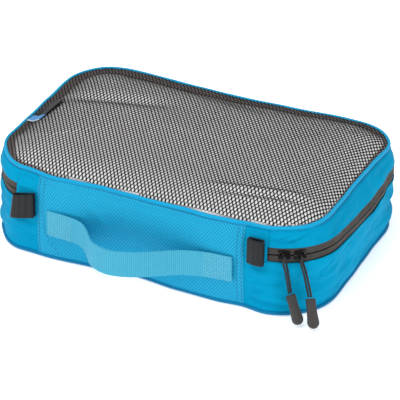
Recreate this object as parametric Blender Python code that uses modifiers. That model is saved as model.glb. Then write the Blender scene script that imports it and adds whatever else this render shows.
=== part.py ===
"""A soft packing cube: a fabric case with a mesh lid that unzips on three sides.

Metres, +Z up. The origin is the centre of the base's underside. The front, with
the handle and the ends of the zipper, faces -Y, and the lid folds forward over it.
"""

import math

import bmesh
import bpy
from mathutils import Matrix, Vector

# Driving dimensions of the case
HALF_LENGTH = 0.141  # at the zipper, where the case is fullest
HALF_WIDTH = 0.0965
CORNER_RADIUS = 0.045
ZIPPER_HEIGHT = 0.0495
RIM_HEIGHT = 0.0695  # centre of the rim's piping
BASE_DRAW_IN = 0.003  # how far the walls pull in at the base and at the rim
RIM_DRAW_IN = 0.0055
LID_CROWN = 0.0085  # the mesh's rise from its edge to its middle
FOLD_HEIGHT = 0.0626  # the line along which the open lid folds over the front
FOLD_Y = -0.0936
LOWER_LEVELS = (0.014, 0.028)  # where the lower walls have a row of points between foot and top
MIDDLE_LEVELS = (0.052, 0.058)
UPPER_LEVELS = (0.0595, 0.0635)
SEAM_X = 0.086  # the upright seams at the front panel's ends
ZIPPER_END_X = 0.104

# Cloth, tape and thread
CLOTH = 0.001
GAP = 0.0003
TAPE = 0.0008
PIPING_RADIUS = 0.0015
RIM_PIPING_RADIUS = 0.0019
COIL_RADIUS = 0.0009
BINDING_HEIGHT = 0.0072
BASE_BOARD = 0.0012
MESH_CLOTH = 0.0008
LINER_CLOTH = 0.0005
LINER_INSET = 0.0025  # the liner's edge inside the mesh's
ZIPPER_OPENING = 0.011  # between the folded edges of the bands
TAPE_WIDTH = 0.0095
WEBBING = 0.0014
WEBBING_WIDTH = 0.020

# Handle
HANDLE_TOP = 0.041
HANDLE_HEIGHT = 0.021
HANDLE_HINGE_Y = -0.0969
HANDLE_ROOT_LEFT = -0.0378  # where the strap is clear enough of the panel to turn
HANDLE_ROOT_RIGHT = 0.0407
HANDLE_SLOT = 0.0010  # from the strap's cut ends to the sewn ends, so that they clear as it turns
# The strap's distance from its sewn ends' plane, at places along the front
HANDLE_ARCH = (
    (-0.073, 0.0), (-0.060, 0.0008), (-0.050, 0.002), (-0.042, 0.005), (-0.034, 0.010),
    (-0.027, 0.017), (-0.020, 0.024), (-0.012, 0.0295), (-0.003, 0.031), (0.008, 0.028),
    (0.020, 0.0215), (0.030, 0.0145), (0.040, 0.008), (0.050, 0.004), (0.060, 0.0015),
    (0.068, 0.0006), (0.078, 0.0),
)

# Zipper ends and sliders
TAB_PROUD = 0.0042
# Each tab's side of the front, the place of its sewn end, its length to the fold and its middle's height
TABS = {"tab_left": (-1, 0.0852, 0.0180, 0.0430), "tab_right": (1, 0.0900, 0.0140, 0.0519)}
SLIDER_WIDTH = 0.009
SLIDER_HEIGHT = 0.0082
SLIDER_PLATE = 0.0016
SLIDER_PROUD = 0.0006  # from the wall's outline to the plate's outer face
SLIDER_ANGLES = (-64.0, -50.0)  # round the front right corner, from +X
BAIL_REACH = 0.0044
BAIL_RADIUS = 0.0007
BAIL_SHARE = 0.72  # the bail's feet, as a share of the slider's half width

# Pulls: from the bail down to the grip's top, then along the grip to its tip
PULL_CORD_RADIUS = 0.0008
GRIP_TOPS = ((0.1226, -0.0948, 0.0215), (0.1358, -0.0893, 0.0190))
GRIP_TIPS = ((0.1330, -0.1012, 0.0026), (0.1445, -0.1012, 0.0026))
GRIP_THICKNESS = 0.0036
GRIP_TOP_WIDTH = 0.0068
GRIP_END_WIDTH = 0.0086
GRIP_BEVEL = 0.0005
CORD_POINTS = 49

# Label
LABEL_SIZE = (0.009, 0.042, 0.0006)
LABEL_PLACE = (-0.1262, -0.004, RIM_HEIGHT + 0.0046)
LABEL_TILT = math.radians(-22)

CORNER_STEPS = 7


def linear(channel):
    """One sRGB channel, from 0 to 255, as a linear value."""
    c = channel / 255
    return c / 12.92 if c <= 0.04045 else ((c + 0.055) / 1.055) ** 2.4


def material(name, colour, roughness, metallic=0.0):
    """A Principled material from an sRGB hex colour."""
    made = bpy.data.materials.new(name)
    made.use_nodes = True
    shader = made.node_tree.nodes["Principled BSDF"]
    channels = [linear(int(colour[i : i + 2], 16)) for i in (0, 2, 4)]
    shader.inputs["Base Color"].default_value = (*channels, 1.0)
    shader.inputs["Roughness"].default_value = roughness
    shader.inputs["Metallic"].default_value = metallic
    return made


def add(name, data, finish):
    """Links a named object to the part's collection."""
    made = bpy.data.objects.new(name, data)
    made.data.materials.append(finish)
    PARTS.objects.link(made)
    return made


def draw_in(z):
    """How far the wall stands inside its fullest outline at height z."""
    if z < ZIPPER_HEIGHT:
        return BASE_DRAW_IN * ((ZIPPER_HEIGHT - z) / ZIPPER_HEIGHT) ** 2
    return RIM_DRAW_IN * ((z - ZIPPER_HEIGHT) / (RIM_HEIGHT - ZIPPER_HEIGHT)) ** 1.5


def corner_centre(side_x=1, side_y=-1):
    """The centre of one rounded corner of the outline."""
    return Vector((side_x * (HALF_LENGTH - CORNER_RADIUS), side_y * (HALF_WIDTH - CORNER_RADIUS)))


def front_point(x):
    """The point and outward normal of the front outline at x, on its straight or its corners."""
    centre = corner_centre(math.copysign(1, x))
    beyond = (x - centre.x) / CORNER_RADIUS if abs(x) > abs(centre.x) else 0.0
    normal = Vector((beyond, -math.sqrt(1 - beyond**2)))
    if beyond:
        return centre + CORNER_RADIUS * normal, normal
    return Vector((x, -HALF_WIDTH)), normal


def outline(start_x=None):
    """Points and outward normals of the fullest outline, anticlockwise from the front.

    It is a closed loop, or an open line from start_x on the front round to -start_x.
    """
    line = []
    first_angle = -180.0
    if start_x is not None:
        point, normal = front_point(start_x)
        line.append((point, normal))
        if abs(start_x) > corner_centre().x:
            first_angle = math.degrees(math.atan2(normal.y, normal.x))
    for quarter, (side_x, side_y) in enumerate(((1, -1), (1, 1), (-1, 1), (-1, -1))):
        for step in range(CORNER_STEPS + 1):
            angle = 90 * (quarter - 1 + step / CORNER_STEPS)
            if angle < first_angle + 1 or angle > 180 - first_angle - 1:
                continue
            turn = math.radians(angle)
            normal = Vector((math.cos(turn), math.sin(turn)))
            line.append((corner_centre(side_x, side_y) + CORNER_RADIUS * normal, normal))
    if start_x is not None:
        line.append(front_point(-start_x))
    return line


def front_line(x_from, x_to):
    """The front outline between two places, with a point every 3 mm where it turns."""
    xs = [x_from, x_to]
    for side in (-1, 1):
        turns = [corner_centre(side).x + side * 0.003 * k for k in range(3)]
        xs += [x for x in turns if x_from < x < x_to]
    return [front_point(x) for x in sorted(xs)]


def strip(name, finish, line, heights, thickness, inward=0.0, closed=False, lean=draw_in):
    """A thin wall: the line extruded upwards through the heights, then given its thickness inwards."""
    mesh = bmesh.new()
    place = mesh.verts.layers.int.new("place")

    def at(index, z):
        point, normal = line[index]
        spot = point - normal * (lean(z) + inward)
        return Vector((spot.x, spot.y, z))

    row = [mesh.verts.new(at(i, heights[0])) for i in range(len(line))]
    for i, vertex in enumerate(row):
        vertex[place] = i
    edges = [mesh.edges.new(pair) for pair in zip(row, row[1:])]
    if closed:
        edges.append(mesh.edges.new((row[-1], row[0])))
    for z in heights[1:]:
        made = bmesh.ops.extrude_edge_only(mesh, edges=edges)["geom"]
        edges = [e for e in made if isinstance(e, bmesh.types.BMEdge)]
        for vertex in {v for e in edges for v in e.verts}:
            vertex.co = at(vertex[place], z)
    mesh.normal_update()
    face = next(iter(mesh.faces))
    outward = line[face.verts[0][place]][1]
    if face.normal.xy.dot(outward) < 0:
        bmesh.ops.reverse_faces(mesh, faces=mesh.faces)
    data = bpy.data.meshes.new(name)
    mesh.to_mesh(data)
    mesh.free()
    made = add(name, data, finish)
    shell = made.modifiers.new("thickness", "SOLIDIFY")
    shell.thickness = thickness
    shell.offset = -1
    shell.use_even_offset = True
    return made


def tube(name, finish, points, radius, closed=False):
    """A round cord or piping along a line of points."""
    curve = bpy.data.curves.new(name, "CURVE")
    curve.dimensions = "3D"
    curve.bevel_depth = radius
    curve.bevel_resolution = 2
    curve.use_fill_caps = not closed
    spline = curve.splines.new("POLY")
    spline.points.add(len(points) - 1)
    for slot, point in zip(spline.points, points):
        slot.co = (*point, 1)
    spline.use_cyclic_u = closed
    return add(name, curve, finish)


def smooth(knots, count):
    """Count points on a smooth curve through the knots (Catmull-Rom)."""
    spread = [Vector(k) for k in knots]
    ends = [2 * spread[0] - spread[1], *spread, 2 * spread[-1] - spread[-2]]
    line = []
    for step in range(count):
        along = step / (count - 1) * (len(spread) - 1)
        i = min(int(along), len(spread) - 2)
        t = along - i
        a, b, c, d = ends[i : i + 4]
        square, cube = 2 * a - 5 * b + 4 * c - d, 3 * b - a - 3 * c + d
        line.append(0.5 * (2 * b + (c - a) * t + square * t**2 + cube * t**3))
    return line


def ring_points(inset, z):
    """Points of the closed outline, drawn in by inset."""
    return [(p.x - n.x * inset, p.y - n.y * inset, z) for p, n in outline()]


def dome(name, finish, inset, edge_z, rise, thickness):
    """A shallow crowned sheet: the outline drawn in, scaled towards the middle and raised ring by ring."""
    mesh = bmesh.new()
    rim = [mesh.verts.new(p) for p in ring_points(inset, edge_z)]
    edges = [mesh.edges.new(pair) for pair in zip(rim, rim[1:])]
    edges.append(mesh.edges.new((rim[-1], rim[0])))
    share = 1.0
    for next_share in (0.93, 0.84, 0.7, 0.45):
        made = bmesh.ops.extrude_edge_only(mesh, edges=edges)["geom"]
        edges = [e for e in made if isinstance(e, bmesh.types.BMEdge)]
        for vertex in {v for e in edges for v in e.verts}:
            vertex.co.xy *= next_share / share
            vertex.co.z = edge_z + rise * (1 - next_share**5)
        share = next_share
    bmesh.ops.contextual_create(mesh, geom=edges)
    bmesh.ops.recalc_face_normals(mesh, faces=mesh.faces)
    if max(mesh.faces, key=lambda f: f.calc_area()).normal.z < 0:
        bmesh.ops.reverse_faces(mesh, faces=mesh.faces)
    data = bpy.data.meshes.new(name)
    mesh.to_mesh(data)
    mesh.free()
    made = add(name, data, finish)
    shell = made.modifiers.new("thickness", "SOLIDIFY")
    shell.thickness = thickness
    shell.offset = -1
    return made


def slab(name, finish, points, thickness, bevel=0.0):
    """A flat closed outline in its own XY plane, extruded to a thickness about that plane."""
    curve = bpy.data.curves.new(name, "CURVE")
    curve.dimensions = "2D"
    curve.fill_mode = "BOTH"
    curve.extrude = thickness / 2 - bevel
    curve.bevel_depth = bevel
    curve.bevel_resolution = 1
    spline = curve.splines.new("POLY")
    spline.points.add(len(points) - 1)
    for slot, point in zip(spline.points, points):
        slot.co = (*point, 0, 1)
    spline.use_cyclic_u = True
    return add(name, curve, finish)


def make_base(finishes):
    """The bottom panel, the lower walls and the seams that join them."""
    base_inset = BASE_DRAW_IN + PIPING_RADIUS + GAP
    base = [p[:2] for p in ring_points(base_inset, 0)]
    panel = slab("base_panel", finishes["nylon"], base, BASE_BOARD)
    panel.location.z = BASE_BOARD / 2
    piping = ring_points(BASE_DRAW_IN, PIPING_RADIUS)
    tube("base_piping", finishes["piping"], piping, PIPING_RADIUS, closed=True)

    wall_foot = 2 * PIPING_RADIUS + GAP
    band_top = ZIPPER_HEIGHT - ZIPPER_OPENING / 2
    wall_levels = (wall_foot, *LOWER_LEVELS, band_top)
    strip("side_band_lower", finishes["nylon"], outline(SEAM_X), wall_levels, CLOTH)
    half_panel = SEAM_X - GAP
    panel_line = front_line(-half_panel, half_panel)
    levels = (*wall_levels, *MIDDLE_LEVELS, FOLD_HEIGHT - GAP)
    strip("front_panel_lower", finishes["ripstop"], panel_line, levels, CLOTH)
    seam_levels = (wall_foot, wall_foot + BINDING_HEIGHT)
    strip(
        "base_seam_binding", finishes["binding"], outline(), seam_levels, TAPE, CLOTH + GAP, closed=True
    )
    for side, name in ((-1, "band_end_left"), (1, "band_end_right")):
        line = front_line(*sorted((side * SEAM_X, side * (ZIPPER_END_X - GAP))))
        levels = (band_top + GAP, *MIDDLE_LEVELS, FOLD_HEIGHT - GAP)
        strip(name, finishes["nylon"], line, levels, CLOTH)


def make_lid(finishes):
    """The mesh panel with its rim, and everything above the zipper and the fold."""
    wall_top = RIM_HEIGHT - RIM_PIPING_RADIUS - GAP
    band_foot = ZIPPER_HEIGHT + ZIPPER_OPENING / 2
    band_levels = (band_foot, *UPPER_LEVELS, wall_top)
    band = outline(ZIPPER_END_X + GAP)
    pieces = [strip("side_band_upper", finishes["nylon"], band, band_levels, CLOTH)]
    line = front_line(-ZIPPER_END_X, ZIPPER_END_X)
    front_levels = (FOLD_HEIGHT + GAP, (FOLD_HEIGHT + wall_top) / 2, wall_top)
    pieces.append(strip("front_panel_upper", finishes["ripstop"], line, front_levels, CLOTH))

    piping_inset = RIM_DRAW_IN + 0.0005
    piping = ring_points(piping_inset, RIM_HEIGHT)
    pieces.append(tube("rim_piping", finishes["piping"], piping, RIM_PIPING_RADIUS, closed=True))
    name, inside = "rim_seam_binding", RIM_PIPING_RADIUS + 4 * GAP
    levels = (UPPER_LEVELS[1], RIM_HEIGHT - 2 * GAP)
    pieces.append(strip(name, finishes["binding"], outline(), levels, TAPE, inside, closed=True))
    mesh_inset = piping_inset + RIM_PIPING_RADIUS + GAP
    mesh_edge = RIM_HEIGHT + 0.0012
    liner_edge = mesh_edge - 2 * MESH_CLOTH
    pieces.append(dome("mesh_panel", finishes["mesh"], mesh_inset, mesh_edge, LID_CROWN, MESH_CLOTH))
    name, crown = "lid_liner", LID_CROWN - 0.0002
    pieces.append(dome(name, finishes["liner"], mesh_inset + LINER_INSET, liner_edge, crown, LINER_CLOTH))
    return pieces


def make_zipper(finishes):
    """Two tapes with their coils, one sewn to the lower band and one to the upper, which are returned."""
    tape_inset = CLOTH + GAP
    coil_inset = tape_inset + TAPE + GAP + COIL_RADIUS
    for side, half in ((-1, "lower"), (1, "upper")):
        inner = ZIPPER_HEIGHT + side * GAP
        outer = ZIPPER_HEIGHT + side * TAPE_WIDTH
        levels = sorted((inner, ZIPPER_HEIGHT + side * TAPE_WIDTH / 2, outer))
        line = outline(ZIPPER_END_X + GAP)
        tape = strip("zipper_tape_" + half, finishes["tape"], line, levels, TAPE, tape_inset)
        coil = [
            (p.x - n.x * coil_inset, p.y - n.y * coil_inset, ZIPPER_HEIGHT + side * (GAP + COIL_RADIUS))
            for p, n in line
        ]
        pieces = [tape, tube("zipper_coil_" + half, finishes["coil"], coil, COIL_RADIUS)]
    return pieces


def make_tab(name, side, root_x, length, centre_z, finish):
    """A folded webbing tab sewn over a zipper end, its fold pointing away from the front panel."""
    turn = TAB_PROUD / 2 - WEBBING / 4
    inner_y = -HALF_WIDTH - GAP - WEBBING / 2
    fold_x = root_x + length - turn - WEBBING / 2
    path = [(root_x, inner_y), (fold_x, inner_y)]
    for step in range(1, 6):
        angle = math.pi / 6 * step
        path.append((fold_x + turn * math.sin(angle), inner_y - turn * (1 - math.cos(angle))))
    path += [(fold_x, inner_y - 2 * turn), (root_x, inner_y - WEBBING - 0.0009)]
    line = []
    for i, point in enumerate(path):
        before, after = Vector(path[max(i - 1, 0)]), Vector(path[min(i + 1, len(path) - 1)])
        run = (after - before).normalized()
        line.append((Vector((side * point[0], point[1])), Vector((side * run.y, -run.x))))
    bottom = centre_z - WEBBING_WIDTH / 2
    made = strip(name, finish, line, (bottom, bottom + WEBBING_WIDTH), WEBBING, lean=lambda z: 0.0)
    made.modifiers["thickness"].offset = 0


def arch_offset(x):
    """The strap's distance from its sewn ends' plane at x, smooth through HANDLE_ARCH."""
    knots = HANDLE_ARCH
    slopes = [
        (knots[min(i + 1, len(knots) - 1)][1] - knots[max(i - 1, 0)][1])
        / (knots[min(i + 1, len(knots) - 1)][0] - knots[max(i - 1, 0)][0])
        for i in range(len(knots))
    ]
    i = max(k for k in range(len(knots) - 1) if knots[k][0] <= x + 1e-9)
    (x0, y0), (x1, y1) = knots[i], knots[i + 1]
    t, run = (x - x0) / (x1 - x0), x1 - x0
    return (
        (2 * t**3 - 3 * t**2 + 1) * y0
        + (t**3 - 2 * t**2 + t) * run * slopes[i]
        + (3 * t**2 - 2 * t**3) * y1
        + (t**3 - t**2) * run * slopes[i + 1]
    )


def make_handle(finish):
    """The webbing strap: two ends sewn to the front panel and the free arch between them."""
    stretches = (
        ("handle_end_left", HANDLE_ARCH[0][0], HANDLE_ROOT_LEFT, 8),
        ("handle_strap", HANDLE_ROOT_LEFT + HANDLE_SLOT, HANDLE_ROOT_RIGHT - HANDLE_SLOT, 24),
        ("handle_end_right", HANDLE_ROOT_RIGHT, HANDLE_ARCH[-1][0], 8),
    )
    sewn_y = -HALF_WIDTH - GAP - WEBBING / 2
    for name, start, end, steps in stretches:
        xs = [start + (end - start) * k / steps for k in range(steps + 1)]
        line = [(Vector((x, sewn_y - arch_offset(x))), Vector((0, -1))) for x in xs]
        levels = (HANDLE_TOP - HANDLE_HEIGHT, HANDLE_TOP)
        made = strip(name, finish, line, levels, WEBBING, lean=lambda z: 0.0)
        made.modifiers["thickness"].offset = 0
        if name == "handle_strap":
            joint("handle_axis", (0, HANDLE_HINGE_Y, HANDLE_TOP), [made])


def joint(name, point, pieces):
    """An empty on a joint's axis. The pieces that move about it become its children, where they are."""
    axis = bpy.data.objects.new(name, None)
    axis.location = point
    PARTS.objects.link(axis)
    for piece in pieces:
        piece.parent = axis
        piece.matrix_parent_inverse = Matrix.Translation(-Vector(point))
    return axis


def around_corner(angle, reach, z):
    """A point over the front right corner: its angle from +X and its distance outside the wall."""
    turn = math.radians(angle)
    spot = corner_centre() + (CORNER_RADIUS + reach) * Vector((math.cos(turn), math.sin(turn)))
    return Vector((spot.x, spot.y, z))


def make_slider(number, angle, finish):
    """The outer half of a zipper slider, and the bail that its pull hangs from."""
    half = math.degrees(SLIDER_WIDTH / 2 / CORNER_RADIUS)
    line = []
    for step in range(5):
        turn = math.radians(angle - half + half * step / 2)
        normal = Vector((math.cos(turn), math.sin(turn)))
        line.append((corner_centre() + CORNER_RADIUS * normal, normal))
    foot = ZIPPER_HEIGHT - SLIDER_HEIGHT / 2
    levels = (foot, foot + SLIDER_HEIGHT)
    name = f"slider_body_{number}"
    plate = strip(name, finish, line, levels, SLIDER_PLATE, -SLIDER_PROUD, lean=lambda z: 0)
    span = half * BAIL_SHARE
    foot_reach, knee_reach = SLIDER_PROUD + BAIL_RADIUS + GAP, BAIL_REACH - 0.001
    route = [
        around_corner(angle - span, foot_reach, ZIPPER_HEIGHT),
        around_corner(angle - span, knee_reach, ZIPPER_HEIGHT),
        around_corner(angle - span * 0.75, BAIL_REACH, ZIPPER_HEIGHT),
        around_corner(angle, BAIL_REACH + 0.0002, ZIPPER_HEIGHT),
        around_corner(angle + span * 0.75, BAIL_REACH, ZIPPER_HEIGHT),
        around_corner(angle + span, knee_reach, ZIPPER_HEIGHT),
        around_corner(angle + span, foot_reach, ZIPPER_HEIGHT),
    ]
    bail = tube(f"slider_bail_{number}", finish, route, BAIL_RADIUS)
    turning_centre = corner_centre().to_3d() + Vector((0, 0, ZIPPER_HEIGHT))
    return joint(f"slider_axis_{number}", turning_centre, [plate, bail])


def pull_route(number):
    """Points for the doubled cord of a pull: up one side of the bail, over it and down the other."""
    angle = SLIDER_ANGLES[number - 1]
    turn = math.radians(angle)
    out, along = Vector((math.cos(turn), math.sin(turn), 0)), Vector((-math.sin(turn), math.cos(turn), 0))
    bar = around_corner(angle, BAIL_REACH + 0.0002, ZIPPER_HEIGHT)
    top, tip = Vector(GRIP_TOPS[number - 1]), Vector(GRIP_TIPS[number - 1])
    side = (tip - top).cross(Vector((0, 0, 1))).normalized()
    if side.dot(along) < 0:
        side = -side
    loop = BAIL_RADIUS + PULL_CORD_RADIUS + GAP
    strand = PULL_CORD_RADIUS + 0.0002
    end = top + 0.0010 * (bar - top).normalized()  # clear of the tilted top of the grip
    return [
        end - strand * side,
        top.lerp(bar, 0.3) - strand * side + 0.0006 * out,
        top.lerp(bar, 0.65) - strand * side + 0.0010 * out,
        bar + loop * out - strand * along + Vector((0, 0, -0.0025)),
        bar + loop * out - strand * 0.6 * along,
        bar + loop * 0.75 * out + Vector((0, 0, loop * 0.75)) - strand * 0.3 * along,
        bar + Vector((0, 0, loop)),
        bar - loop * 0.75 * out + Vector((0, 0, loop * 0.75)) + strand * 0.3 * along,
        bar - loop * out + strand * 0.6 * along,
        bar - loop * 0.9 * out + strand * along + Vector((0, 0, -0.0025)),
        top.lerp(bar, 0.65) + strand * side + 0.0004 * out,
        top.lerp(bar, 0.3) + strand * side + 0.0006 * out,
        end + strand * side,
    ]


def make_pull(number, finishes, slider):
    """A doubled cord round the bail and the moulded grip on its ends."""
    route = smooth(pull_route(number), CORD_POINTS)
    cord = tube(f"pull_cord_{number}", finishes["cord"], route, PULL_CORD_RADIUS)

    top, tip = Vector(GRIP_TOPS[number - 1]), Vector(GRIP_TIPS[number - 1])
    down = (tip - top).normalized()
    side = down.cross(Vector((0, 0, 1))).normalized()
    length = (tip - top).length
    end_radius = GRIP_END_WIDTH / 2
    shape = [(-GRIP_TOP_WIDTH / 2, GAP), (-end_radius, length - end_radius)]
    for step in range(1, 8):
        angle = math.pi * step / 8
        shape.append((-end_radius * math.cos(angle), length - end_radius * (1 - math.sin(angle))))
    shape += [(end_radius, length - end_radius), (GRIP_TOP_WIDTH / 2, GAP)]
    grip = slab(f"pull_grip_{number}", finishes["grip"], shape, GRIP_THICKNESS, bevel=GRIP_BEVEL)
    turned = Matrix((side, down, side.cross(down))).transposed().to_4x4()
    grip.matrix_basis = Matrix.Translation(top) @ turned
    bar = around_corner(SLIDER_ANGLES[number - 1], BAIL_REACH + 0.0002, ZIPPER_HEIGHT)
    axis = joint(f"pull_axis_{number}", bar, [cord, grip])
    axis.parent = slider
    axis.matrix_parent_inverse = Matrix.Translation(-slider.location)


def make_label(finish):
    """A plain woven label lying along the left edge of the mesh."""
    bpy.ops.mesh.primitive_cube_add(size=1)
    label = bpy.context.active_object
    label.name = "rim_label"
    label.data.transform(Matrix.Diagonal((*LABEL_SIZE, 1)))
    label.data.materials.append(finish)
    label.location = LABEL_PLACE
    label.rotation_euler = (0, LABEL_TILT, 0)
    for home in list(label.users_collection):
        home.objects.unlink(label)
    PARTS.objects.link(label)
    return label


for old in list(bpy.data.objects):
    bpy.data.objects.remove(old, do_unlink=True)
PARTS = bpy.data.collections.new("packing_cube")
bpy.context.scene.collection.children.link(PARTS)

FINISHES = {
    "nylon": material("plain_nylon", "0E9AC6", 0.55),
    "ripstop": material("ripstop_nylon", "1FA0CF", 0.6),
    "piping": material("piping_cord", "2AA6D4", 0.55),
    "binding": material("seam_binding", "0B7FA8", 0.7),
    "mesh": material("knitted_mesh", "6C6B6C", 0.8),
    "liner": material("white_liner", "EDEDEB", 0.9),
    "tape": material("zipper_tape", "3A3836", 0.7),
    "coil": material("zipper_coil", "2B2A2A", 0.4),
    "webbing": material("handle_webbing", "5BB6D2", 0.7),
    "tab": material("tab_webbing", "2A2D31", 0.7),
    "metal": material("slider_metal", "2C2A2A", 0.35, 0.8),
    "cord": material("pull_cord", "2C2B2C", 0.7),
    "grip": material("grip_rubber", "3E3D3E", 0.6),
    "label": material("woven_label", "1C1C1F", 0.8),
}

make_base(FINISHES)
lid_pieces = make_lid(FINISHES) + make_zipper(FINISHES) + [make_label(FINISHES["label"])]
joint("lid_axis", (0, FOLD_Y, FOLD_HEIGHT), lid_pieces)
for tab, shape in TABS.items():
    make_tab(tab, *shape, FINISHES["tab"])
make_handle(FINISHES["webbing"])
for index, corner_angle in enumerate(SLIDER_ANGLES, start=1):
    slider_axis = make_slider(index, corner_angle, FINISHES["metal"])
    make_pull(index, FINISHES, slider_axis)
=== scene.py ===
"""A soft packing cube in blue nylon, with a net lid that unzips on three sides and folds over its front.

Metres, +Z up. The front, with the handle and the ends of the zipper, faces -Y.
"""

import math

import bmesh
import bpy
import numpy as np
from mathutils import Matrix, Vector, noise


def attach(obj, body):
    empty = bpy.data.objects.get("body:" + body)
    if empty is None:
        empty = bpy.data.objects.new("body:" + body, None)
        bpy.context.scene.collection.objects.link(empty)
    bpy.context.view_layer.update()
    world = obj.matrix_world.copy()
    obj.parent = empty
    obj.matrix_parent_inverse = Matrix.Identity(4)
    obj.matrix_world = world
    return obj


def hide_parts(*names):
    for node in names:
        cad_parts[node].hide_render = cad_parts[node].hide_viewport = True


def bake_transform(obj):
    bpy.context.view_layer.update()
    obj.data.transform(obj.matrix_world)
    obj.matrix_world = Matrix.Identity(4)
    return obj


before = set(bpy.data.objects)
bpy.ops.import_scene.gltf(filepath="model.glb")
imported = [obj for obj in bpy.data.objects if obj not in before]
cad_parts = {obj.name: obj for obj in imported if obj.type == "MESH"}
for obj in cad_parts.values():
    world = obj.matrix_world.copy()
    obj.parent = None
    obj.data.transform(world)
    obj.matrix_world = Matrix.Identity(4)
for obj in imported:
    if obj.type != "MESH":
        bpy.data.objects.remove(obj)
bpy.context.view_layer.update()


# --- Camera, floor and light ---
# A long lens looks down on the front right corner. The floor is plain white board, large enough
# to have no edge in view, and broad soft lights leave only a faint shadow at the case's foot.

CAMERA_ANGLES = (25.63, 28.48, 0.99)  # degrees round from the front, upwards and in roll
CAMERA_DISTANCE, LENS_MM = 1.777, 210.8
azimuth, elevation, roll = map(math.radians, CAMERA_ANGLES)
level_share = math.cos(elevation)
back = Vector((math.sin(azimuth) * level_share, -math.cos(azimuth) * level_share, math.sin(elevation)))
level = Vector((math.cos(azimuth), math.sin(azimuth), 0))
upright = back.cross(level)
right = level * math.cos(roll) + upright * math.sin(roll)
up = back.cross(right)
aim = Vector((0, 0, 0.035)) + 0.0041 * right - 0.0122 * up
camera_data = bpy.data.cameras.new("camera")
camera_data.lens = LENS_MM
camera = bpy.data.objects.new("camera", camera_data)
turned = Matrix((right, up, back)).transposed().to_4x4()
camera.matrix_world = Matrix.Translation(aim + CAMERA_DISTANCE * back) @ turned
bpy.context.scene.collection.objects.link(camera)
bpy.context.scene.camera = camera
bpy.context.scene.view_settings.view_transform = "Standard"


def colour(code):
    """An sRGB hex colour as linear RGBA."""
    channels = [int(code[i : i + 2], 16) / 255 for i in (1, 3, 5)]
    return (*(c / 12.92 if c <= 0.04045 else ((c + 0.055) / 1.055) ** 2.4 for c in channels), 1.0)


def node(tree, kind, inputs=None, out=0, **settings):
    """Adds a node and returns one of its outputs. Its inputs take a value or another node's output."""
    made = tree.nodes.new("ShaderNode" + kind)
    for key, value in settings.items():
        setattr(made, key, value)
    for key, value in (inputs or {}).items():
        if isinstance(value, bpy.types.NodeSocket):
            tree.links.new(value, made.inputs[key])
        else:
            made.inputs[key].default_value = value
    return made.outputs[out]


def new_material(name, **constants):
    """A Principled material, its node tree and its shader, with constants set on the shader's own sockets."""
    made = bpy.data.materials.new(name)
    made.use_nodes = True
    shader = made.node_tree.nodes["Principled BSDF"]
    for key, value in constants.items():
        shader.inputs[key.replace("_", " ")].default_value = value
    return made, made.node_tree, shader


def paint(tree, shader, share, dark, light, height=None, strength=0.5, distance=0.0002):
    """Colours a shader between two colours by a share from 0 to 1, and raises it where a height is given."""
    tint = node(tree, "Mix", {0: share, 6: colour(dark), 7: colour(light)}, data_type="RGBA", out=2)
    tree.links.new(tint, shader.inputs["Base Color"])
    if height is not None:
        relief = node(tree, "Bump", {"Strength": strength, "Distance": distance, "Height": height})
        tree.links.new(relief, shader.inputs["Normal"])


def finish_mesh(name, mesh, *materials):
    """Turns a bmesh into a linked, smooth object at the origin."""
    data = bpy.data.meshes.new(name)
    mesh.to_mesh(data)
    mesh.free()
    for polygon in data.polygons:
        polygon.use_smooth = True
    made = bpy.data.objects.new(name, data)
    for each in materials:
        data.materials.append(each)
    bpy.context.scene.collection.objects.link(made)
    return made


board, tree, shader = new_material(
    "white_board", Roughness=0.9, Emission_Color=(1, 1, 1, 1), Emission_Strength=0.42
)
place = node(tree, "TexCoord", out="Object")
speckle = node(tree, "TexNoise", {"Vector": place, "Scale": 40.0, "Detail": 2.0})
paint(tree, shader, speckle, "#fcfcfc", "#ffffff")
ground = bmesh.new()
bmesh.ops.create_grid(ground, x_segments=2, y_segments=2, size=6.0)
bmesh.ops.translate(ground, verts=ground.verts, vec=(0, 0, -0.0003))
floor = finish_mesh("floor", ground, board)

world = bpy.data.worlds.new("white_room")
world.use_nodes = True
background = world.node_tree.nodes["Background"]
background.inputs["Color"].default_value = (1.0, 1.0, 1.0, 1.0)
background.inputs["Strength"].default_value = 0.62
bpy.context.scene.world = world
for name, place, size, power in (
    ("top_light", (-0.3, -0.5, 1.9), 1.4, 17.0),
    ("left_light", (-1.5, -1.5, 1.1), 1.2, 6.5),
    ("right_light", (1.8, -0.9, 1.0), 0.8, 8.0),
):
    lamp_data = bpy.data.lights.new(name, "AREA")
    lamp_data.energy = power
    lamp_data.size = size
    lamp = bpy.data.objects.new(name, lamp_data)
    lamp.location = place
    lamp.rotation_mode = "QUATERNION"
    lamp.rotation_quaternion = (Vector(place) - Vector((0, 0, 0.03))).to_track_quat("Z", "Y")
    bpy.context.scene.collection.objects.link(lamp)


# --- Zipper pulls ---
# Each pull is a doubled black cord, 1.6 mm thick, looped over the slider's bail, with its two ends
# moulded into a soft rubber grip. The cords come first because the rest of the case makes room for them.

HALF_LENGTH, HALF_WIDTH, CORNER_RADIUS = 0.141, 0.0965, 0.045
ZIPPER_HEIGHT = 0.0495
SLIDER_ANGLES = (-64.0, -50.0)  # round the front right corner, from +X
BAIL_REACH, BAIL_RADIUS = 0.0046, 0.0007
PULL_CORD_RADIUS = 0.0008
GRIP_TOPS = ((0.1226, -0.0948, 0.0215), (0.1358, -0.0893, 0.0190))
GRIP_HALF_WIDTH, GRIP_THICKNESS = 0.0043, 0.0036
GRIP_TIPS = ((0.1330, -0.1012, 0.0026), (0.1445, -0.1012, 0.0026))
CORNER = Vector((HALF_LENGTH - CORNER_RADIUS, -HALF_WIDTH + CORNER_RADIUS, 0))
Z = Vector((0, 0, 1))


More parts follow.
